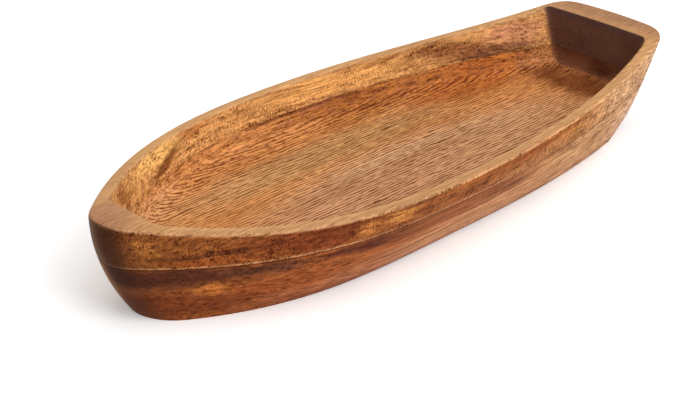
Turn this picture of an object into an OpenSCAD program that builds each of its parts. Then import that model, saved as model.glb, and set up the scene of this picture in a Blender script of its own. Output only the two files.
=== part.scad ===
// Boat-shaped snack tray of solid wood, hollowed out of two boards glued one on the other.
// x runs from the narrow bow (-x) to the wide stern (+x), y across the beam and z up.
// The origin is under the middle of the length, and the flat foot lies at z = 0.

/* [Rim] */
// Length over the bow and the stern, just under the eased edge
length = 322.58; // [300:0.01:350]
// Beam at the widest station
beam = 127; // [115:0.1:140]
// Height of the rim at the bow and the stern
height = 46.99; // [44:0.01:54]
// How far the rim dips between its two ends
sheer = 7.5; // [0:0.1:9]
// How level the middle of the rim stays before it rises to the ends
sheer_power = 3.7; // [2:0.1:6]
// Widest station, measured from mid length toward the stern
beam_station = -17.7; // [-30:0.1:20]
// Radius of the eased outer edge of the rim
outer_ease = 1.4; // [0.5:0.1:2.4]
// Radius of the eased inner edge of the rim
inner_ease = 0.8; // [0.3:0.1:1.6]

/* [Bow] */
// Width of the bow between the corners of the rim
bow_width = 26.8; // [20:0.1:45]
// How far the bow edge swells out between its corners
bow_crown = 7.7; // [2:0.1:12]
// How far each bow corner is cut back by its rounding
bow_corner = 5; // [2:0.1:9]
// How long the sides stay wide before they close in to the bow
bow_fullness = 2.6; // [1.8:0.1:4]
// How long they stay wide at the foot
bow_foot_fullness = 3.2; // [1.8:0.1:4]
// Width of the rim across the bow
bow_rim = 15.4; // [10:0.1:22]
// Width of the bow at the foot
bow_foot_width = 32.3; // [20:0.1:45]
// Lean of the bow from upright, in degrees
bow_lean = 1; // [0:0.5:12]
// How far the bow curves in to the foot
bow_tuck = 15.8; // [6:0.1:24]
// How late the bow starts to curve in
bow_turn = 1.9; // [1.5:0.1:6]

/* [Stern] */
// Width of the stern between the corners of the rim
stern_width = 63.4; // [50:0.1:80]
// How far the stern edge swells out between its corners
stern_crown = 2; // [0.5:0.1:6]
// How far each stern corner is cut back by its rounding
stern_corner = 10.6; // [4:0.1:16]
// How long the sides stay wide before they close in to the stern
stern_fullness = 1.9; // [1.6:0.1:3.4]
// How long they stay wide at the foot
stern_foot_fullness = 3; // [1.6:0.1:4]
// Width of the rim across the stern
stern_rim = 15.9; // [12:0.1:24]
// Width of the stern at the foot
stern_foot_width = 61.3; // [45:0.1:75]
// Lean of the stern from upright, in degrees
stern_lean = 28.5; // [10:0.5:30]
// How far the stern curves in to the foot
stern_tuck = 7.8; // [6:0.1:20]
// How late the stern starts to curve in
stern_turn = 3.9; // [2:0.1:6]

/* [Sides] */
// Width of the rim along each side
side_rim = 5; // [4.5:0.1:8]
// Lean of the sides from upright, in degrees
side_lean = 17.4; // [5:0.1:20]
// How far the sides curve in to the foot
side_tuck = 9.1; // [4:0.1:14]
// How late the sides start to curve in
side_turn = 3.7; // [2:0.1:6]

/* [Hollow] */
// Height of the floor above the foot
floor_height = 18.2; // [12:0.1:22]
// Width of the hollow at the bow end of the rim
bow_inner_width = 28.1; // [20:0.1:40]
// Width of the hollow at the stern end of the rim
stern_inner_width = 62.1; // [50:0.1:72]
// Width of the hollow at the bow end of the floor
bow_floor_width = 20; // [14:0.1:28]
// Width of the hollow at the stern end of the floor
stern_floor_width = 41.8; // [34:0.1:60]
// Lean of the inner bow wall from upright, in degrees
bow_inner_lean = 14; // [0:0.5:20]
// Lean of the inner stern wall from upright, in degrees
stern_inner_lean = 4; // [0:0.5:15]
// Lean of the inner side walls from upright, in degrees
side_inner_lean = 15; // [4:0.5:20]
// How far each corner of the hollow is cut back by its rounding
inner_corner = 3; // [1:0.1:6]
// How far the end edges of the hollow swell out
inner_crown = 0.6; // [0:0.1:2]
// How far the hollow runs in along the floor, from the sides
side_cove = 12; // [6:0.1:18]
// How far the hollow runs in along the floor, from the two ends
end_cove = 4; // [2:0.1:8]
// Height of that cove above the floor
cove_height = 6.5; // [4:0.1:8]

/* [Boards] */
// Height of the glue line between the two boards
glue_height = 27.4; // [26.5:0.1:30]

/* [Hidden] */

// Which end of the boat a quarter of the outline belongs to
BOW = -1;
STERN = 1;

// Facets along a quarter of the outline
side_steps = 13;
corner_steps = 6;
end_steps = 4;
// Rings up the walls, round the eased edges and round the cove
wall_steps = 9;
upper_steps = 4;
ease_steps = 3;
cove_steps = 5;

// How closely an end narrows with its sides when the whole outline shrinks
taper_share = 0.6;

// Where two straight lines meet, each given by a point and a direction
function meet(p, u, q, v) =
    p + u * ((q.x - p.x) * v.y - (q.y - p.y) * v.x) / (u.x * v.y - u.y * v.x);

// Smooth bend from p to r that leaves p toward q and reaches r from q
function bend(p, q, r, t) = (1 - t) ^ 2 * p + 2 * t * (1 - t) * q + t ^ 2 * r;

// A quarter of an outline, from the widest station to the middle of one end.
// The place s is 0 to 1 along the swept side, 1 to 2 round the corner and 2 to 3 on the end.
function quarter(reach, half_end, half_beam, fullness, corner, crown, s) =
    let (
        swell = half_beam - half_end,
        a = 1 - corner / reach,
        b = 1 - corner / half_end,
        from = [a * reach, half_end + swell * (1 - a ^ fullness)],
        from_way = [reach, -swell * fullness * a ^ (fullness - 1)],
        to = [reach + crown * (1 - b ^ 2), b * half_end],
        to_way = [-2 * crown * b, half_end],
        u = a * s,
        v = b * (3 - s)
    )
    s < 1 ? [u * reach, half_end + swell * (1 - u ^ fullness)]
    : s < 2 ? bend(from, meet(from, from_way, to, to_way), to, s - 1)
    : [reach + crown * (1 - v ^ 2), v * half_end];

// Places round a whole outline: which end, how far along the quarter, and which hand
quarter_places = concat(
    [for (k = [0 : side_steps - 1]) k / side_steps],
    [for (k = [0 : corner_steps - 1]) 1 + k / corner_steps],
    [for (k = [0 : end_steps]) 2 + k / end_steps]
);
last = len(quarter_places) - 1;
port = concat(
    [for (k = [last : -1 : 0]) [STERN, quarter_places[k], 1]],
    [for (k = [1 : last]) [BOW, quarter_places[k], 1]]
);
starboard = [for (k = [len(port) - 2 : -1 : 1]) [port[k].x, port[k].y, -1]];
places = concat(port, starboard);

// Point at a place of an outline whose end lies at end_x
function plan(place, end_x, half_end, half_beam, fullness, corner, crown) =
    let (
        reach = abs(end_x - beam_station) - crown,
        q = quarter(reach, half_end, half_beam, fullness, corner, crown, place[1])
    )
    [beam_station + place[0] * q.x, place[2] * q.y];

// Height of the rim over a station
function rim_height(x) = height - sheer * (1 - min(1, abs(2 * x / length)) ^ sheer_power);

// Rim height at each place, which the walls below it share
rim_z = [
    for (p = places) rim_height(
        p[0] == STERN
        ? plan(p, length / 2, stern_width / 2, beam / 2, stern_fullness, stern_corner, stern_crown).x
        : plan(p, -length / 2, bow_width / 2, beam / 2, bow_fullness, bow_corner, bow_crown).x)
];

// Point of the outer wall under place k at height z, moved in from the wall by inset
function outer_point(k, z, inset = 0) =
    let (
        p = places[k],
        fall = max(0, rim_z[k] - outer_ease - z),
        part = fall / (rim_z[k] - outer_ease),
        side_in = tan(side_lean) * fall + side_tuck * part ^ side_turn + inset,
        bow_in = tan(bow_lean) * fall + bow_tuck * part ^ bow_turn + inset,
        stern_in = tan(stern_lean) * fall + stern_tuck * part ^ stern_turn + inset,
        bow_half = (bow_width + (bow_foot_width - bow_width) * part) / 2 - taper_share * inset,
        stern_half = (stern_width + (stern_foot_width - stern_width) * part) / 2
            - taper_share * inset,
        bow_full = bow_fullness + (bow_foot_fullness - bow_fullness) * part,
        stern_full = stern_fullness + (stern_foot_fullness - stern_fullness) * part,
        xy = p[0] == STERN
            ? plan(p, length / 2 - stern_in, stern_half, beam / 2 - side_in,
                stern_full, stern_corner, stern_crown)
            : plan(p, bow_in - length / 2, bow_half, beam / 2 - side_in,
                bow_full, bow_corner, bow_crown)
    )
    [xy.x, xy.y, z];

// Point of the hollow under place k at height z. It is moved in from the upright part of
// the hollow by side_inset across the beam and by end_inset along the length.
function inner_point(k, z, side_inset = 0, end_inset = 0) =
    let (
        p = places[k],
        fall = rim_z[k] - z,
        part = fall / (rim_z[k] - floor_height),
        half_beam = beam / 2 - side_rim - tan(side_inner_lean) * fall - side_inset,
        bow_end = bow_rim + tan(bow_inner_lean) * fall + end_inset - length / 2,
        stern_end = length / 2 - stern_rim - tan(stern_inner_lean) * fall - end_inset,
        bow_half = (bow_inner_width + (bow_floor_width - bow_inner_width) * part) / 2
            - taper_share * end_inset,
        stern_half = (stern_inner_width + (stern_floor_width - stern_inner_width) * part) / 2
            - taper_share * end_inset,
        xy = p[0] == STERN
            ? plan(p, stern_end, stern_half, half_beam, stern_fullness, inner_corner, inner_crown)
            : plan(p, bow_end, bow_half, half_beam, bow_fullness, inner_corner, inner_crown)
    )
    [xy.x, xy.y, z];

// Rings of points, one point for each place
function outer_ring(z) = [for (k = [0 : len(places) - 1]) outer_point(k, z)];
function inner_ring(z) = [for (k = [0 : len(places) - 1]) inner_point(k, z)];

// Ring on the outer wall, a share of the way up from the glue line to the eased edge
function outer_upper_ring(share) = [
    for (k = [0 : len(places) - 1])
        outer_point(k, glue_height + share * (rim_z[k] - outer_ease - glue_height))
];

// Ring on the inner wall, a share of the way up from the glue line to the eased edge
function inner_upper_ring(share) = [
    for (k = [0 : len(places) - 1])
        inner_point(k, glue_height + share * (rim_z[k] - inner_ease - glue_height))
];

// Rings round the two eased edges: the angle is 0 on the wall and 90 on top of the rim
function outer_ease_ring(angle) = [
    for (k = [0 : len(places) - 1])
        outer_point(k, rim_z[k] - outer_ease * (1 - sin(angle)), outer_ease * (1 - cos(angle)))
];
function inner_ease_ring(angle) = [
    for (k = [0 : len(places) - 1])
        let (back = inner_ease * (1 - cos(angle)))
        inner_point(k, rim_z[k] - inner_ease * (1 - sin(angle)), -back, -back)
];

// Ring in the cove: t is 0 where it leaves the wall and 1 where it reaches the floor
function cove_ring(t) = [
    for (k = [0 : len(places) - 1])
        inner_point(k, floor_height + cove_height * (1 - t) ^ 2, side_cove * t ^ 2, end_cove * t ^ 2)
];

// Skin over a stack of rings. A closed stack joins its last ring to its first;
// an open one has a flat cap on each end.
module loft(rings, closed) {
    n = len(rings[0]);
    m = len(rings);
    joins = closed ? m : m - 1;
    sides = [
        for (j = [0 : joins - 1], k = [0 : n - 1])
            let (
                a = j * n + k,
                b = j * n + (k + 1) % n,
                c = (j + 1) % m * n + (k + 1) % n,
                d = (j + 1) % m * n + k
            )
            each [[a, d, b], [b, d, c]]
    ];
    caps = closed ? [] : [[for (k = [0 : n - 1]) k], [for (k = [n - 1 : -1 : 0]) (m - 1) * n + k]];
    polyhedron([for (ring = rings) each ring], concat(sides, caps));
}

// The board that carries the foot and the floor
module bottom_board() {
    rings = concat(
        [for (k = [0 : wall_steps]) outer_ring(glue_height * k / wall_steps)],
        [inner_ring(glue_height)],
        [for (k = [0 : cove_steps]) cove_ring(k / cove_steps)]
    );
    color("peru") loft(rings, false);
}

// The board that carries the rim, open all through
module rim_board() {
    rings = concat(
        [for (k = [0 : upper_steps]) outer_upper_ring(k / upper_steps)],
        [for (k = [1 : ease_steps]) outer_ease_ring(90 * k / ease_steps)],
        [for (k = [ease_steps : -1 : 1]) inner_ease_ring(90 * k / ease_steps)],
        [for (k = [upper_steps : -1 : 0]) inner_upper_ring(k / upper_steps)]
    );
    color("sienna") loft(rings, true);
}

bottom_board();
rim_board();
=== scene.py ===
"""Looks of a boat-shaped snack tray of oiled wood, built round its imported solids. Sizes are in metres."""

import math

import bpy
import numpy as np
from mathutils import Matrix, Vector


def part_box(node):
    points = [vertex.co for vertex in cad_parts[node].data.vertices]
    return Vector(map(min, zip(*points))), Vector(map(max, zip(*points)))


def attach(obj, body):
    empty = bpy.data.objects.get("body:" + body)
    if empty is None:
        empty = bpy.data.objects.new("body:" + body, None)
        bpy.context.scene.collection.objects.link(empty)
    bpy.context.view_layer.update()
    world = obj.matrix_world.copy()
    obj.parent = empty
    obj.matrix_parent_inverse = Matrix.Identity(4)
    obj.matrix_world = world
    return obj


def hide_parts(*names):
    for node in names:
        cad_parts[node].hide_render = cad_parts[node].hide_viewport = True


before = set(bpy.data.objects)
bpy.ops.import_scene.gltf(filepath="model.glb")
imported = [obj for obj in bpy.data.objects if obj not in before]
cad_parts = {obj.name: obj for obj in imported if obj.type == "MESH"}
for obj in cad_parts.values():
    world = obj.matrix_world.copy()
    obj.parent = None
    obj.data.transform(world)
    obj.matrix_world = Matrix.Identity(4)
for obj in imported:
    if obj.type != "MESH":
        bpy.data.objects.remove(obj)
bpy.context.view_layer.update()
MM = 0.001

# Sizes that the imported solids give
BOTTOM_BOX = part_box("bottom_board")
RIM_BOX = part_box("rim_board")
LENGTH = RIM_BOX[1][0] - RIM_BOX[0][0]
BEAM = RIM_BOX[1][1] - RIM_BOX[0][1]
HEIGHT = RIM_BOX[1][2]
GLUE_HEIGHT = BOTTOM_BOX[1][2]

# Rim
SHEER = 7.5 * MM
SHEER_POWER = 3.7
BEAM_STATION = -17.7 * MM
OUTER_EASE = 1.4 * MM
INNER_EASE = 0.8 * MM
# How closely an end narrows with its sides when the whole outline shrinks
TAPER_SHARE = 0.6

# The two ends of the hull: the outline at the rim, the foot and the wall between them
BOW = dict(
    way=-1, width=26.8 * MM, crown=7.7 * MM, corner=5 * MM, fullness=2.6, foot_fullness=3.2,
    foot_width=32.3 * MM, lean=1.0, tuck=15.8 * MM, turn=1.9,
    rim=15.4 * MM, inner_width=28.1 * MM, floor_width=20 * MM, inner_lean=14.0,
)
STERN = dict(
    way=1, width=63.4 * MM, crown=2 * MM, corner=10.6 * MM, fullness=1.9, foot_fullness=3.0,
    foot_width=61.3 * MM, lean=28.5, tuck=7.8 * MM, turn=3.9,
    rim=15.9 * MM, inner_width=62.1 * MM, floor_width=41.8 * MM, inner_lean=4.0,
)

# Sides and hollow
SIDE_RIM = 5 * MM
SIDE_LEAN = 17.4
SIDE_TUCK = 9.1 * MM
SIDE_TURN = 3.7
FLOOR_HEIGHT = 18.2 * MM
SIDE_INNER_LEAN = 15.0
INNER_CORNER = 3 * MM
INNER_CROWN = 0.6 * MM
SIDE_COVE = 12 * MM
END_COVE = 4 * MM
COVE_HEIGHT = 6.5 * MM

# Facets along a quarter of the outline, and rings up the walls and round the bends
SIDE_STEPS = 64
CORNER_STEPS = 14
END_STEPS = 12
WALL_STEPS = 28
UPPER_STEPS = 10
EASE_STEPS = 8
COVE_STEPS = 16
# An edge that turns by more degrees than this stays sharp
SHARP_ANGLE = 38

# Camera: where it stands, what it looks at, how far it rolls and how long its lens is
CAMERA_PLACE = Vector((-477.0, -450.8, 336.9)) * MM
CAMERA_AIM = Vector((-27.75, 4.0, 2.64)) * MM
CAMERA_ROLL = 0.43
CAMERA_LENS = 86.5

# Light: each round lamp's place, width and power, what the lamps point at, and the studio's even light
KEY_PLACE = (0.0, -1.18, 1.0)
KEY_SIZE = 1.1
KEY_POWER = 14.0
TOP_PLACE = (0.1, -0.1, 1.5)
TOP_SIZE = 1.6
TOP_POWER = 14.0
LAMP_AIM = (0.0, 0.0, 0.02)
STUDIO_LIGHT = 0.2

# Ground: its half size, its tone, and its own glow, which rises to 1 between two distances from the middle.
# The rise is painted light: the glow is weaker near the object, so that its shadow on the ground shows only
# close to it.
GROUND_REACH = 6.0
GROUND_TONE = 0.9
GROUND_GLOW = 0.34
NEAR_GROUND = 0.16
FAR_GROUND = 0.42

# Noises of the wood. Each has the length of its features along, across and up the grain, in millimetres, a
# layer number that sets it apart from the others, and how much fine detail it holds.
SWAY = dict(grain=(70, 26, 16), layer=0)
EDGE = dict(grain=(9, 5, 2.6), layer=5)
BAND = dict(grain=(80, 16, 7), layer=11, detail=3.0)
GROWTH_LINE = dict(grain=(34, 2, 1.3), layer=17, detail=3.0, roughness=0.65)
FLECK = dict(grain=(0.55, 0.55, 1.4), layer=23, detail=3.0, roughness=0.75)
CURLY_ZONE = dict(grain=(22, 22, 9), layer=29)
SPECKLE = dict(grain=(8, 0.7, 0.45), layer=31, detail=1.0, roughness=0.7)
PORE_WANDER = dict(grain=(22, 5, 5), layer=37)
PORE_BREAK = dict(grain=(5, 1.1, 1.1), layer=39, detail=1.0)
DASH_CROWD = dict(grain=(26, 8, 6), layer=41)
DASH = dict(grain=(3.6, 1.1, 1.1), layer=43)
CLOUD = dict(grain=(5.5, 2.2, 2.2), layer=47)
RIPPLE = dict(grain=(1.5, 4, 9), layer=53, detail=1.0)

# Areas of the wood, each from where it begins to where it is full. A face counts by how squarely it looks
# sideways, endways or up, and the others by millimetres: outward, along X, Y or Z, down from the rim, or
# away from the glue seam.
SIDE_FACE = (0.35, 0.8)
END_FACE = (0.55, 0.9)
LYING_FACE = (0.5, 0.9)
OUTSIDE = (-2.0, 2.0)
RIPPLED = (-80.0, -20.0)
NEAR_HALF = (4.0, -4.0)
BACK_HALF = (-4.0, 4.0)
DASHED_ACROSS = (4.0, 24.0)
DASHED_DOWN = (40.0, 26.0)
HOLLOW_UP = (12.0, 16.0)
ARCHED_UP = (19.0, 27.0)
RIM_TOP = (1.5, 0.1)
BELOW_TOP = (0.2, 0.8)
# The next lays a painted highlight along the rim's outer edge.
RIM_HIGHLIGHT = (1.9, 1.1)
GLUE_LINE = (0.4, 0.12)
PALE_LINE = (0.6, 0.15)
PALE_LINE_RISE = 0.8

# Limits of a noise or of a distance, from none to full
CURLY = (0.38, 0.6)
CLOUDED = (0.5, 0.68)
PORE_LINE = (1.75, 2.35)
PATCH_EDGE = (1.0, 0.3)
DASH_EDGE = (1.0, 0.55)

# How far the grain sways, how ragged the patches are, and how far from the middle the growth lines stay
# level before they fall away by ARCH times the square of the way. CURL_LEAN is how far the curly figure
# leans toward the stern for each millimetre up.
SWAY_REACH = (14, 9, 6)
EDGE_REACH = (10, 4, 2.4)
LEVEL_REACH = 45
ARCH = 0.0012
CURL_LEAN = 0.4

# Pores: the gap between the lines in millimetres, how far they wander and how broken they are, how much of
# them is left on the sanded rim and on a wall, the least and most radius of a dash as a share of its cell,
# and how dark a dash is against a line
PORE_GAP = 1.7
WANDER_SHARE = 14.0
BREAK_SHARE = 3.0
SANDED_PORES = 0.4
WALL_PORES = 0.08
DASH_RADIUS = (0.3, 0.55)
DASH_SHARE = 0.7

# How strong each part of the figure is, as a share of the wood's brightness
BAND_SHARE = 0.7
LINE_SHARE = 0.6
SIDE_LINE_SHARE = 2.8
RIPPLE_SHARE = 0.22
SPECKLE_SHARE = 0.8
PORE_SHARE = 0.75
# How much of it is left between the curly zones and on the sanded rim
CALM_SHARE = 0.3
SANDED_SHARE = 0.7
# The brightness between the pores and at the glue seam, how much of the seam is left inside the hollow, and
# the least and most brightness
BETWEEN_PORES = 1.12
SEAM_DARK = 0.4
SEAM_INSIDE = 0.4
DARKEST = 0.14
PALEST = 2.1

# How much of each tone is laid over the wood, and the powers by which its green and its blue fall in dark
# wood and rise in pale wood, where its red's power is 1
RIM_TONE_SHARE = 0.8
# The next is how much painted highlight lies along the rim's outer edge.
RIM_HIGHLIGHT_SHARE = 0.3
PALE_LINE_SHARE = 0.32
CLOUD_SHARE = 0.35
DARK_TINT = (1.38, 1.8)
PALE_TINT = (1.08, 1.16)
# How much of the darkening of the end faces, from the end grain's oil and from painted shade, reaches its
# blue, inside the hollow and outside
END_BLUE = (0.5, 0.95)

# Surface: the roughness of the darkest wood, how much smoother pale wood is, how much light it reflects, and
# the relief of the pores and the speckle
ROUGHNESS = 0.66
PALE_GLOSS = 0.1
SPECULAR = 0.06
RELIEF_DEPTH = 0.2 * MM
RELIEF_STRENGTH = 0.2
SPECKLE_RELIEF = 0.6


def tan(degrees):
    """Tangent of an angle in degrees."""
    return math.tan(math.radians(degrees))


def meet(p, u, q, v):
    """Where two straight lines meet, each given by a point and a direction."""
    s = ((q[0] - p[0]) * v[1] - (q[1] - p[1]) * v[0]) / (u[0] * v[1] - u[1] * v[0])
    return p[0] + s * u[0], p[1] + s * u[1]


def bend(p, q, r, t):
    """Smooth bend from p to r that leaves p toward q and reaches r from q."""
    return (1 - t) ** 2 * p + 2 * t * (1 - t) * q + t**2 * r


def quarter(reach, half_end, half_beam, fullness, corner, crown, s):
    """A quarter of an outline: s is 0 to 1 on the side, 1 to 2 round the corner, 2 to 3 on the end."""
    swell = half_beam - half_end
    a = 1 - corner / reach
    b = 1 - corner / half_end
    start = a * reach, half_end + swell * (1 - a**fullness)
    start_way = reach, -swell * fullness * a ** (fullness - 1)
    stop = reach + crown * (1 - b**2), b * half_end
    stop_way = -2 * crown * b, half_end
    turn = meet(start, start_way, stop, stop_way)
    u = a * np.minimum(s, 1)
    v = b * (3 - s)
    round_x = bend(start[0], turn[0], stop[0], s - 1)
    round_y = bend(start[1], turn[1], stop[1], s - 1)
    x = np.where(s < 1, u * reach, np.where(s < 2, round_x, reach + crown * (1 - v**2)))
    y = np.where(s < 1, half_end + swell * (1 - u**fullness), np.where(s < 2, round_y, v * half_end))
    return x, y


def places():
    """Places round a whole outline: which end, how far along the quarter, and which hand."""
    along = np.concatenate([
        np.arange(SIDE_STEPS) / SIDE_STEPS,
        1 + np.arange(CORNER_STEPS) / CORNER_STEPS,
        2 + np.arange(END_STEPS + 1) / END_STEPS,
    ])
    port = [(STERN["way"], s, 1) for s in along[::-1]] + [(BOW["way"], s, 1) for s in along[1:]]
    starboard = [(end, s, -hand) for end, s, hand in port[-2:0:-1]]
    return np.array(port + starboard).T


END, ALONG, HAND = places()
AT_STERN = END == STERN["way"]


def plan(ends, half_beam, part=0.0):
    """Points of an outline. ends gives end x, half width, corner and crown for the bow and the stern,
    and part says how far down the outer wall it lies, from 0 at the rim to 1 at the foot."""
    points = []
    for end, (end_x, half_end, corner, crown) in zip((BOW, STERN), ends):
        reach = np.abs(end_x - BEAM_STATION) - crown
        fullness = end["fullness"] + (end["foot_fullness"] - end["fullness"]) * part
        x, y = quarter(reach, half_end, half_beam, fullness, corner, crown, ALONG)
        points.append((BEAM_STATION + end["way"] * x, HAND * y))
    (bow_x, bow_y), (stern_x, stern_y) = points
    return np.where(AT_STERN, stern_x, bow_x), np.where(AT_STERN, stern_y, bow_y)


def rim_heights():
    """Height of the rim at each place."""
    ends = [
        (end["way"] * LENGTH / 2, end["width"] / 2, end["corner"], end["crown"]) for end in (BOW, STERN)
    ]
    x = plan(ends, BEAM / 2)[0]
    level = 1 - np.minimum(1, np.abs(2 * x / LENGTH)) ** SHEER_POWER
    return HEIGHT - SHEER * level


RIM_Z = rim_heights()


def outer_ring(z, inset=0.0):
    """Ring on the outer wall at the heights z, moved in from the wall by inset."""
    z = np.broadcast_to(z, RIM_Z.shape)
    fall = np.maximum(0, RIM_Z - OUTER_EASE - z)
    part = fall / (RIM_Z - OUTER_EASE)
    ends = []
    for end in (BOW, STERN):
        back = tan(end["lean"]) * fall + end["tuck"] * part ** end["turn"] + inset
        half = (end["width"] + (end["foot_width"] - end["width"]) * part) / 2 - TAPER_SHARE * inset
        ends.append((end["way"] * (LENGTH / 2 - back), half, end["corner"], end["crown"]))
    x, y = plan(ends, BEAM / 2 - tan(SIDE_LEAN) * fall - SIDE_TUCK * part**SIDE_TURN - inset, part)
    return np.stack([x, y, z], 1)


def inner_ring(z, side_inset=0.0, end_inset=0.0):
    """Ring on the hollow at the heights z, moved in from its upright part."""
    z = np.broadcast_to(z, RIM_Z.shape)
    fall = RIM_Z - z
    part = fall / (RIM_Z - FLOOR_HEIGHT)
    ends = []
    for end in (BOW, STERN):
        back = end["rim"] + tan(end["inner_lean"]) * fall + end_inset
        half = (end["inner_width"] + (end["floor_width"] - end["inner_width"]) * part) / 2
        half = half - TAPER_SHARE * end_inset
        ends.append((end["way"] * (LENGTH / 2 - back), half, INNER_CORNER, INNER_CROWN))
    x, y = plan(ends, BEAM / 2 - SIDE_RIM - tan(SIDE_INNER_LEAN) * fall - side_inset)
    return np.stack([x, y, z], 1)


def cove_ring(t):
    """Ring in the cove: t is 0 where it leaves the wall and 1 where it reaches the floor."""
    return inner_ring(FLOOR_HEIGHT + COVE_HEIGHT * (1 - t) ** 2, SIDE_COVE * t**2, END_COVE * t**2)


def outer_ease_ring(angle):
    """Ring round the eased outer edge: the angle is 0 on the wall and 90 on top of the rim."""
    a = math.radians(angle)
    return outer_ring(RIM_Z - OUTER_EASE * (1 - math.sin(a)), OUTER_EASE * (1 - math.cos(a)))


def inner_ease_ring(angle):
    """Ring round the eased inner edge: the angle is 0 on the wall and 90 on top of the rim."""
    a = math.radians(angle)
    back = INNER_EASE * (1 - math.cos(a))
    return inner_ring(RIM_Z - INNER_EASE * (1 - math.sin(a)), -back, -back)


def loft(name, rings, closed):
    """Skin over a stack of rings: closed joins the last to the first, open has a flat cap on each end."""
    count = len(rings[0])
    points = [tuple(p) for ring in rings for p in ring]
    faces = []
    for j in range(len(rings) if closed else len(rings) - 1):
        low, high = j * count, (j + 1) % len(rings) * count
        for k in range(count):
            n = (k + 1) % count
            faces.append((low + k, low + n, high + n, high + k))
    if not closed:
        for ring, row in ((rings[0], 0), (rings[-1], (len(rings) - 1) * count)):
            middle = len(points)
            points.append(tuple(ring.mean(0)))
            for k in range(count):
                n = (k + 1) % count
                faces.append((row + n, row + k, middle) if row == 0 else (row + k, row + n, middle))
    mesh = bpy.data.meshes.new(name)
    mesh.from_pydata(points, [], faces)
    mesh.update()
    mesh.shade_smooth()
    mesh.set_sharp_from_angle(angle=math.radians(SHARP_ANGLE))
    piece = bpy.data.objects.new(name, mesh)
    bpy.context.collection.objects.link(piece)
    return piece


def bottom_board():
    """The lower board: up the outer wall from the foot, then in to the hollow and down to its floor."""
    rings = [outer_ring(GLUE_HEIGHT * k / WALL_STEPS) for k in range(WALL_STEPS + 1)]
    rings += [inner_ring(GLUE_HEIGHT)]
    rings += [cove_ring(k / COVE_STEPS) for k in range(COVE_STEPS + 1)]
    return loft("bottom_board_wood", rings, closed=False)


def rim_board():
    """The upper board: up the outer wall, round both eased edges of the rim and down into the hollow."""
    up = [k / UPPER_STEPS for k in range(UPPER_STEPS + 1)]
    rings = [outer_ring(GLUE_HEIGHT + t * (RIM_Z - OUTER_EASE - GLUE_HEIGHT)) for t in up]
    rings += [outer_ease_ring(90 * k / EASE_STEPS) for k in range(1, EASE_STEPS + 1)]
    rings += [inner_ease_ring(90 * k / EASE_STEPS) for k in range(EASE_STEPS, 0, -1)]
    rings += [inner_ring(GLUE_HEIGHT + t * (RIM_Z - INNER_EASE - GLUE_HEIGHT)) for t in up[::-1]]
    return loft("rim_board_wood", rings, closed=True)


def srgb(red, green, blue):
    """A colour written as screen values from 0 to 255, as a linear colour."""
    channels = [((c / 255 + 0.055) / 1.055) ** 2.4 for c in (red, green, blue)]
    return (*channels, 1.0)


class Nodes:
    """Short names for the shader nodes that a material or a world is made of."""

    def __init__(self, owner, shader="Principled BSDF"):
        owner.use_nodes = True
        self.tree = owner.node_tree
        self.shader = self.tree.nodes[shader]

    def link(self, value, socket):
        """Feeds a socket from another node, or sets the socket's own value."""
        if isinstance(value, bpy.types.NodeSocket):
            self.tree.links.new(value, socket)
        else:
            socket.default_value = value

    def node(self, kind, **settings):
        made = self.tree.nodes.new(kind)
        for key, value in settings.items():
            setattr(made, key, value)
        return made

    def math(self, operation, a, b=0.0, c=0.0):
        made = self.node("ShaderNodeMath", operation=operation)
        for value, socket in zip((a, b, c), made.inputs):
            self.link(value, socket)
        return made.outputs[0]

    def add(self, first, *others):
        for other in others:
            first = self.math("ADD", first, other)
        return first

    def times(self, first, *others):
        for other in others:
            first = self.math("MULTIPLY", first, other)
        return first

    def line(self, value, slope, start):
        """slope * value + start"""
        return self.math("MULTIPLY_ADD", value, slope, start)

    def between(self, share, none, full):
        """The first value where the share is 0, the second where it is 1, and straight between them."""
        return self.line(share, full - none, none)

    def absolute(self, value):
        return self.math("ABSOLUTE", value)

    def smooth(self, value, low, high):
        """0 at low, 1 at high and smooth between them."""
        made = self.node("ShaderNodeMapRange", interpolation_type="SMOOTHSTEP")
        for item, socket in zip((value, low, high), made.inputs):
            self.link(item, socket)
        return made.outputs[0]

    def split(self, vector):
        made = self.node("ShaderNodeSeparateXYZ")
        self.link(vector, made.inputs[0])
        return made.outputs

    def join(self, x, y, z):
        made = self.node("ShaderNodeCombineXYZ")
        for value, socket in zip((x, y, z), made.inputs):
            self.link(value, socket)
        return made.outputs[0]

    def vector(self, operation, a, b, c=(0.0, 0.0, 0.0)):
        made = self.node("ShaderNodeVectorMath", operation=operation)
        for value, socket in zip((a, b, c), made.inputs):
            self.link(value, socket)
        return made.outputs[0]

    def length(self, vector):
        made = self.node("ShaderNodeVectorMath", operation="LENGTH")
        self.link(vector, made.inputs[0])
        return made.outputs[1]

    def mix(self, share, a, b):
        """The colour a, with a share of the colour b in it."""
        made = self.node("ShaderNodeMix", data_type="RGBA")
        for item, socket in zip((share, a, b), (made.inputs[0], made.inputs[6], made.inputs[7])):
            self.link(item, socket)
        return made.outputs[2]


def patch(u, v, long, high, colour, share, rise=0.0):
    """A soft oval of another tone: its middle, half sizes and end's rise in millimetres, and how much of
    the tone is laid in its middle."""
    return dict(u=u, v=v, long=long, high=high, colour=srgb(*colour), share=share, rise=rise)


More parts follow.
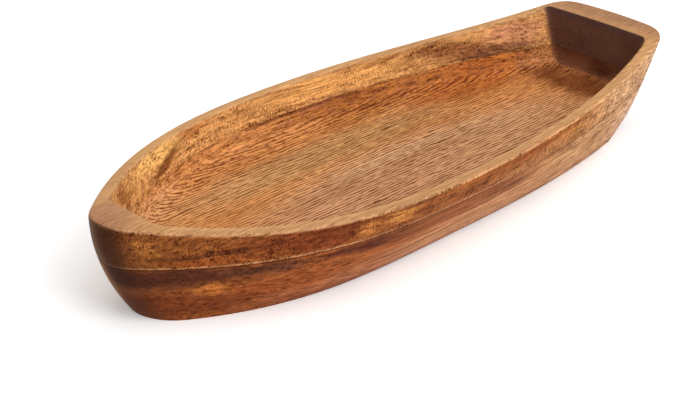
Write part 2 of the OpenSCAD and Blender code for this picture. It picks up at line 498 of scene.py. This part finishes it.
class Wood(Nodes):
    """Oiled wood whose grain runs along X, with places and sizes in millimetres."""

    def __init__(self, material, shift):
        super().__init__(material)
        self.shift = shift
        coordinates = self.node("ShaderNodeTexCoord")
        self.place = self.vector("MULTIPLY", coordinates.outputs["Object"], (1 / MM,) * 3)
        self.find_faces(self.split(coordinates.outputs["Normal"]))
        self.bent = self.stray(self.place, SWAY_REACH, **SWAY)
        self.ragged = self.split(self.stray(self.bent, EDGE_REACH, **EDGE))
        self.speckle = self.noise(self.bent, **SPECKLE)

    def find_faces(self, facing):
        """Which part of the board each place lies on, as shares from 0 to 1."""
        self.x, self.y, self.z = self.split(self.place)
        self.side_face = self.smooth(self.absolute(facing[1]), *SIDE_FACE)
        self.end_face = self.smooth(self.absolute(facing[0]), *END_FACE)
        self.lying_face = self.smooth(self.absolute(facing[2]), *LYING_FACE)
        away = self.add(self.times(facing[0], self.x), self.times(facing[1], self.y))
        self.outside = self.smooth(away, *OUTSIDE)
        reach = self.math("POWER", self.times(self.absolute(self.x), 2 * MM / LENGTH), SHEER_POWER)
        rim = self.line(reach, SHEER / MM, (HEIGHT - SHEER) / MM)
        self.depth = self.math("SUBTRACT", rim, self.z)
        self.rim_top = self.smooth(self.depth, *RIM_TOP)
        back = self.times(self.smooth(self.y, *DASHED_ACROSS), self.smooth(self.z, *DASHED_DOWN))
        self.dashed = self.times(back, self.between(self.outside, 1.0, 0.0))

    def noise(self, place, grain, layer, detail=2.0, roughness=0.5, colour=False):
        """Noise whose features are about as long as grain along each axis."""
        made = self.node("ShaderNodeTexNoise", noise_dimensions="3D")
        self.link(self.cells(place, grain, layer), made.inputs["Vector"])
        made.inputs["Scale"].default_value = 1.0
        made.inputs["Detail"].default_value = detail
        made.inputs["Roughness"].default_value = roughness
        return made.outputs[1 if colour else 0]

    def dashes(self, place, radius, grain, layer):
        """Separate dashes, about one in each cell as large as grain. The radius is a share of the cell."""
        made = self.node("ShaderNodeTexVoronoi", voronoi_dimensions="3D", feature="F1")
        self.link(self.cells(place, grain, layer), made.inputs["Vector"])
        made.inputs["Scale"].default_value = 1.0
        return self.smooth(self.math("DIVIDE", made.outputs["Distance"], radius), *DASH_EDGE)

    def cells(self, place, size, layer):
        """The place, counted in cells of that size."""
        stretch = tuple(1 / length for length in size)
        return self.vector("MULTIPLY_ADD", place, stretch, (self.shift + layer,) * 3)

    def stray(self, start, reach, grain, layer):
        """The places at start, moved by a slow noise that goes about half of reach each way."""
        drift = self.noise(self.place, grain, layer, colour=True)
        drift = self.vector("SUBTRACT", drift, (0.5, 0.5, 0.5))
        return self.vector("MULTIPLY_ADD", drift, reach, start)

    def swing(self, noise, share):
        """A noise as a swing round 0, with the given strength."""
        return self.times(self.line(noise, 1.0, -0.5), share)

    def spot(self, u, v, item):
        """How much of a soft, slanted oval lies at the place u, v: 1 in its middle and 0 outside."""
        du = self.line(u, 1 / item["long"], -item["u"] / item["long"])
        dv = self.line(v, 1 / item["high"], -item["v"] / item["high"])
        dv = self.add(dv, self.times(du, -item["rise"] / item["high"]))
        return self.smooth(self.length(self.join(du, dv, 0.0)), *PATCH_EDGE)

    def lay(self, colour, patches, u, v, mask):
        """A colour with soft patches laid over it, inside a mask."""
        for item in patches:
            share = self.times(self.spot(u, v, item), mask, item["share"])
            colour = self.mix(share, colour, item["colour"])
        return colour

    def lay_patches(self, tone, patches):
        """The main tone, with the patches of the hollow and of the two sides."""
        along, across, up = self.ragged
        near = self.times(self.smooth(self.y, *NEAR_HALF), self.outside)
        colour = self.lay(srgb(*tone), patches["floor"], along, across, self.smooth(self.z, *HOLLOW_UP))
        colour = self.lay(colour, patches["near"], along, up, near)
        return self.lay(colour, patches["back"], along, up, self.smooth(self.y, *BACK_HALF))

    def sand_and_highlight_rim(self, colour, patches):
        """A paler sanded rim, with its own patches and a painted highlight along its outer edge."""
        along, across = self.ragged[:2]
        colour = self.mix(self.times(self.rim_top, RIM_TONE_SHARE), colour, RIM_TONE)
        colour = self.lay(colour, patches, along, across, self.rim_top)
        # A painted highlight along the rim's eased outer edge, in a pale tone.
        edge = self.times(self.smooth(self.depth, *RIM_HIGHLIGHT), self.smooth(self.depth, *BELOW_TOP))
        return self.mix(self.times(edge, self.outside, RIM_HIGHLIGHT_SHARE), colour, HIGHLIGHT_AND_SEAM_TONE)

    def from_seam(self, rise):
        """How far each place is from a line at that rise above the glue seam."""
        return self.absolute(self.add(self.z, -GLUE_HEIGHT / MM - rise))

    def light_seam(self, colour):
        """A pale line on the outside, just above the glue seam."""
        pale = self.smooth(self.from_seam(PALE_LINE_RISE), *PALE_LINE)
        return self.mix(self.times(pale, self.outside, PALE_LINE_SHARE), colour, HIGHLIGHT_AND_SEAM_TONE)

    def mottle(self, colour):
        """Small dark clouds up the back of the hollow."""
        cloud = self.smooth(self.noise(self.bent, **CLOUD), *CLOUDED)
        return self.mix(self.times(cloud, self.dashed, CLOUD_SHARE), colour, CLOUD_TONE)

    def growth(self):
        """Broad bands and growth lines. On the walls they arch from both ends up to the middle."""
        arching = self.math("MAXIMUM", self.outside, self.smooth(self.z, *ARCHED_UP))
        past = self.math("MAXIMUM", self.add(self.absolute(self.x), -LEVEL_REACH), 0.0)
        rise = self.times(past, past, ARCH, arching)
        arched = self.vector("ADD", self.bent, self.join(0.0, 0.0, rise))
        bands = self.swing(self.noise(arched, **BAND), BAND_SHARE)
        line_share = self.between(self.side_face, LINE_SHARE, SIDE_LINE_SHARE)
        return self.add(bands, self.swing(self.noise(arched, **GROWTH_LINE), line_share))

    def curls(self, curl):
        """Curly flecks on the sides, stronger in some zones, and a slanted ripple on the outside, from a
        little ahead of the middle to the stern."""
        slant = self.join(self.add(self.x, self.times(self.z, -CURL_LEAN)), self.y, self.z)
        zone = self.smooth(self.noise(self.place, **CURLY_ZONE), *CURLY)
        flecked = self.times(self.side_face, self.between(zone, CALM_SHARE, 1.0), curl)
        rippled = self.times(self.side_face, self.outside, self.smooth(self.x, *RIPPLED))
        flecks = self.swing(self.noise(slant, **FLECK), flecked)
        ripple = self.swing(self.noise(slant, **RIPPLE), self.times(rippled, RIPPLE_SHARE * curl))
        return self.add(flecks, ripple)

    def pores(self):
        """Fine broken lines, clearest on the faces that lie flat, and dashes up the back of the hollow."""
        wander = self.times(self.noise(self.bent, **PORE_WANDER), WANDER_SHARE)
        stripes = self.math("SINE", self.add(self.times(self.y, math.tau / PORE_GAP), wander))
        broken = self.times(self.noise(self.bent, **PORE_BREAK), BREAK_SHARE)
        lines = self.smooth(self.add(stripes, broken), *PORE_LINE)
        flat = self.times(self.lying_face, self.between(self.rim_top, 1.0, SANDED_PORES))
        lines = self.times(lines, self.between(flat, WALL_PORES, 1.0))
        radius = self.between(self.noise(self.place, **DASH_CROWD), *DASH_RADIUS)
        dashes = self.times(self.dashes(self.bent, radius, **DASH), self.dashed, DASH_SHARE)
        return self.math("MAXIMUM", lines, dashes)

    def seam(self):
        """The factor on the brightness at the dark glue seam, which is fainter inside the hollow."""
        line = self.smooth(self.from_seam(0.0), *GLUE_LINE)
        line = self.times(line, self.between(self.outside, SEAM_INSIDE, 1.0))
        return self.between(line, 1.0, SEAM_DARK)

    def brightness(self, curl, pore, pore_share):
        """The whole figure as one factor on the wood's brightness."""
        figure = self.add(self.growth(), self.curls(curl), self.swing(self.speckle, SPECKLE_SHARE))
        factor = self.add(self.times(figure, self.between(self.rim_top, 1.0, SANDED_SHARE)), 1.0)
        factor = self.times(factor, self.line(pore, -PORE_SHARE * pore_share, BETWEEN_PORES))
        factor = self.times(factor, self.seam())
        return self.math("MINIMUM", self.math("MAXIMUM", factor, DARKEST), PALEST)

    def tint(self, factor):
        """The factor on each channel: dark wood is redder, and pale wood less so."""
        dark = self.math("MINIMUM", factor, 1.0)
        pale = self.math("MAXIMUM", factor, 1.0)
        green, blue = (
            self.times(self.math("POWER", dark, fall), self.math("POWER", pale, rise))
            for fall, rise in zip(DARK_TINT, PALE_TINT)
        )
        return self.join(factor, green, blue)

    def end_grain_and_shade(self, end_tone):
        """The factor on each channel on the end faces, down to end_tone: the end grain's darker oil together
        with painted shade.
        """
        oiled_and_shaded = self.between(self.end_face, 1.0, end_tone)
        blue = self.math("POWER", oiled_and_shaded, self.between(self.outside, *END_BLUE))
        return self.join(oiled_and_shaded, oiled_and_shaded, blue)

    def relief(self, pore):
        """Open pores and a fine roughness, as a bump."""
        bump = self.node("ShaderNodeBump")
        bump.inputs["Distance"].default_value = RELIEF_DEPTH
        bump.inputs["Strength"].default_value = RELIEF_STRENGTH
        height = self.math("SUBTRACT", self.times(self.speckle, SPECKLE_RELIEF), pore)
        self.link(height, bump.inputs["Height"])
        return bump.outputs[0]


def wood(name, tone, patches, shift, curl, pore_share, end_tone):
    """A board's material. tone is its main colour. patches holds the patches of the two sides, by x and z,
    and of the hollow's floor and the rim's top, by x and y. shift sets its noise apart from the other
    board's. curl is how strong the curly figure is, pore_share how dark the pores are, and end_tone how
    much of its brightness the end faces keep, darker from the end grain's oil and from painted shade."""
    material = bpy.data.materials.new(name)
    n = Wood(material, shift)
    colour = n.lay_patches(tone, patches)
    colour = n.sand_and_highlight_rim(colour, patches["rim"])
    colour = n.mottle(n.light_seam(colour))
    pore = n.pores()
    factor = n.brightness(curl, pore, pore_share)
    colour = n.vector("MULTIPLY", colour, n.tint(factor))
    # The end faces darker: end grain's oil and painted shade.
    colour = n.vector("MULTIPLY", colour, n.end_grain_and_shade(end_tone))
    n.link(colour, n.shader.inputs["Base Color"])
    n.link(n.line(factor, -PALE_GLOSS, ROUGHNESS), n.shader.inputs["Roughness"])
    n.shader.inputs["Specular IOR Level"].default_value = SPECULAR
    n.link(n.relief(pore), n.shader.inputs["Normal"])
    return material


def dress(piece, node, material):
    """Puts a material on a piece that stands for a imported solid."""
    piece.data.materials.append(material)
    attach(piece, "root")
    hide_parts(node)


def background_rays(n):
    """1 for the rays that see the studio itself, in the picture, in a gloss or through glass."""
    rays = n.node("ShaderNodeLightPath").outputs
    seen = n.math("MAXIMUM", rays["Is Camera Ray"], rays["Is Glossy Ray"])
    return n.math("MAXIMUM", seen, rays["Is Transmission Ray"])


def floor():
    """White ground that keeps the object's shadow close to it. Its own glow rises with distance as painted
    light, so that the shadow fades out further away and the ground is white as far as it goes."""
    mesh = bpy.data.meshes.new("ground")
    corners = [(x * GROUND_REACH, y * GROUND_REACH, 0) for x, y in ((-1, -1), (1, -1), (1, 1), (-1, 1))]
    mesh.from_pydata(corners, [], [(0, 1, 2, 3)])
    ground = bpy.data.objects.new("ground", mesh)
    bpy.context.collection.objects.link(ground)
    material = bpy.data.materials.new("white_ground")
    n = Nodes(material)
    n.shader.inputs["Base Color"].default_value = (GROUND_TONE, GROUND_TONE, GROUND_TONE, 1)
    n.shader.inputs["Roughness"].default_value = 0.9
    n.shader.inputs["Specular IOR Level"].default_value = 0.0
    n.shader.inputs["Emission Color"].default_value = (1, 1, 1, 1)
    x, y = n.split(n.node("ShaderNodeTexCoord").outputs["Object"])[:2]
    # Painted light: the glow is weaker near the object, so that its shadow on the ground fades out with
    # distance.
    far = n.smooth(n.add(n.times(x, x), n.times(y, y)), NEAR_GROUND**2, FAR_GROUND**2)
    glow = n.line(far, 1 - GROUND_GLOW, GROUND_GLOW)
    n.link(n.times(background_rays(n), glow), n.shader.inputs["Emission Strength"])
    mesh.materials.append(material)


def area_light(name, place, aim, size, power):
    """A round lamp that points at aim."""
    data = bpy.data.lights.new(name, "AREA")
    data.shape = "DISK"
    data.size = size
    data.energy = power
    lamp = bpy.data.objects.new(name, data)
    lamp.location = place
    lamp.rotation_euler = (Vector(aim) - Vector(place)).to_track_quat("-Z", "Y").to_euler()
    bpy.context.collection.objects.link(lamp)


def light():
    """A soft key lamp above the near side, a wider lamp overhead and an even white studio."""
    world = bpy.data.worlds.new("studio")
    n = Nodes(world, "Background")
    n.shader.inputs["Color"].default_value = (1, 1, 1, 1)
    n.link(n.line(background_rays(n), 1 - STUDIO_LIGHT, STUDIO_LIGHT), n.shader.inputs["Strength"])
    bpy.context.scene.world = world
    area_light("key", KEY_PLACE, LAMP_AIM, KEY_SIZE, KEY_POWER)
    area_light("top", TOP_PLACE, LAMP_AIM, TOP_SIZE, TOP_POWER)


def camera():
    """The photo's point of view, solved from edges measured in the photo."""
    data = bpy.data.cameras.new("camera")
    data.sensor_width = 36
    data.lens = CAMERA_LENS
    eye = bpy.data.objects.new("camera", data)
    turn = (CAMERA_AIM - CAMERA_PLACE).to_track_quat("-Z", "Y").to_matrix()
    turn = turn @ Matrix.Rotation(math.radians(CAMERA_ROLL), 3, "Z")
    eye.matrix_world = Matrix.Translation(CAMERA_PLACE) @ turn.to_4x4()
    bpy.context.collection.objects.link(eye)
    bpy.context.scene.camera = eye


# Tones, and the patches of both boards. near is the outside of the side that the photo shows, and back is
# the other side, inside and out.
RIM_TONE = srgb(192, 145, 99)
# Pale tone of the painted highlight on the rim's outer edge and of the pale line above the glue seam.
HIGHLIGHT_AND_SEAM_TONE = srgb(226, 176, 128)
CLOUD_TONE = srgb(124, 74, 62)

BOTTOM_PATCHES = dict(
    near=[
        patch(0, 14, 500, 120, (150, 80, 38), 0.95),
        patch(92, 16, 112, 30, (184, 135, 90), 0.9),
        # The next three: paler lower wood, with painted bounce light from the white ground.
        patch(2, 11, 95, 14, (197, 141, 98), 0.8),
        patch(126, 14, 34, 16, (208, 162, 128), 0.75),
        patch(-88, 8, 44, 5, (186, 114, 70), 0.55),
        patch(-25, 25, 74, 8, (123, 68, 36), 0.75),
        patch(-104, 14, 34, 8, (150, 76, 36), 0.6),
        patch(-68, 10, 28, 6, (172, 106, 66), 0.6),
        patch(-138, 9, 36, 8, (120, 56, 25), 0.8),
        patch(-146, 23.5, 42, 8.5, (80, 39, 23), 0.95),
        patch(-112, 24.5, 22, 4.0, (80, 45, 30), 0.85, rise=1.0),
        patch(-75, 25, 30, 3.6, (92, 44, 28), 0.85, rise=1.0),
        patch(-128, 16.5, 9, 5, (206, 122, 54), 0.65),
    ],
    back=[
        patch(45, 23.5, 84, 6, (160, 94, 44), 0.8),
        patch(-112, 23, 30, 6, (206, 148, 100), 0.7),
        patch(136, 23, 16, 6, (192, 126, 76), 0.7),
        patch(0, 26.5, 48, 1.8, (118, 68, 46), 0.7),
    ],
    floor=[
        patch(-20, 27, 140, 17, (189, 144, 94), 0.8),
        patch(10, -14, 135, 36, (204, 161, 122), 0.95),
        patch(34, 48, 42, 12, (160, 98, 46), 0.65),
        patch(94, 34, 56, 20, (170, 94, 38), 0.85),
        # Painted shade on the floor by the stern wall, over wood that is darker there too.
        patch(132, -6, 21, 60, (108, 54, 24), 0.9),
        patch(-125, 0, 34, 34, (184, 142, 100), 0.85),
    ],
    rim=[],
)
RIM_PATCHES = dict(
    near=[
        patch(0, 36, 500, 120, (138, 74, 31), 0.93),
        patch(66, 34, 36, 20, (174, 115, 54), 0.85),
        # Paler wood on the near side toward the stern, with a painted highlight laid in it.
        patch(128, 35, 70, 22, (200, 152, 106), 0.9),
        patch(124, 29.5, 30, 3, (170, 124, 84), 0.7),
        patch(40, 30.5, 50, 4, (170, 112, 64), 0.7),
        patch(16, 38.5, 84, 8, (144, 75, 18), 0.8),
        patch(-92, 35, 46, 9, (112, 50, 23), 0.85),
        patch(-52, 39.5, 12, 3, (104, 46, 23), 0.7),
        patch(-130, 30.5, 24, 2.6, (156, 78, 31), 0.6),
        patch(-72, 33, 8, 5, (196, 124, 60), 0.6),
        patch(-57, 34.2, 11, 4.6, (222, 148, 76), 0.75),
        patch(-128, 34.0, 32, 1.7, (84, 38, 17), 0.7, rise=2.5),
        patch(-152, 37, 4, 8, (210, 132, 62), 0.5),
        # The bow end: darker wood with painted shade.
        patch(-166, 37, 11, 24, (136, 65, 38), 0.9),
    ],
    back=[
        patch(-96, 37.5, 27, 8, (232, 180, 106), 0.85),
        patch(18, 34, 52, 7, (222, 160, 90), 0.65),
        # A painted highlight on the back wall near the stern corner.
        patch(124, 36, 26, 8, (190, 128, 92), 0.8),
        patch(-129, 36, 5, 11, (138, 80, 38), 0.7),
        patch(-90, 31.5, 17, 3.2, (122, 66, 30), 0.9, rise=4.5),
        patch(-69, 37, 13, 4.5, (164, 100, 52), 0.7),
        patch(90, 33.0, 34, 6, (122, 70, 38), 0.85, rise=-5.5),
        patch(118, 30, 30, 2.4, (122, 76, 52), 0.8),
        patch(108, 28, 36, 1.2, (92, 52, 32), 0.85),
    ],
    floor=[],
    rim=[
        patch(-160, 0, 26, 18, (160, 110, 84), 0.7),
        patch(160, 0, 20, 60, (142, 98, 74), 0.6),
    ],
)

dress(
    bottom_board(), "bottom_board",
    wood(
        "bottom_wood", tone=(196, 131, 75), patches=BOTTOM_PATCHES, shift=3.0,
        curl=2.2, pore_share=1.0, end_tone=0.45,
    ),
)
dress(
    rim_board(), "rim_board",
    wood(
        "rim_wood", tone=(199, 142, 84), patches=RIM_PATCHES, shift=57.0,
        curl=5.2, pore_share=0.6, end_tone=0.25,
    ),
)
floor()
light()
camera()
bpy.context.scene.view_settings.view_transform = "Standard"
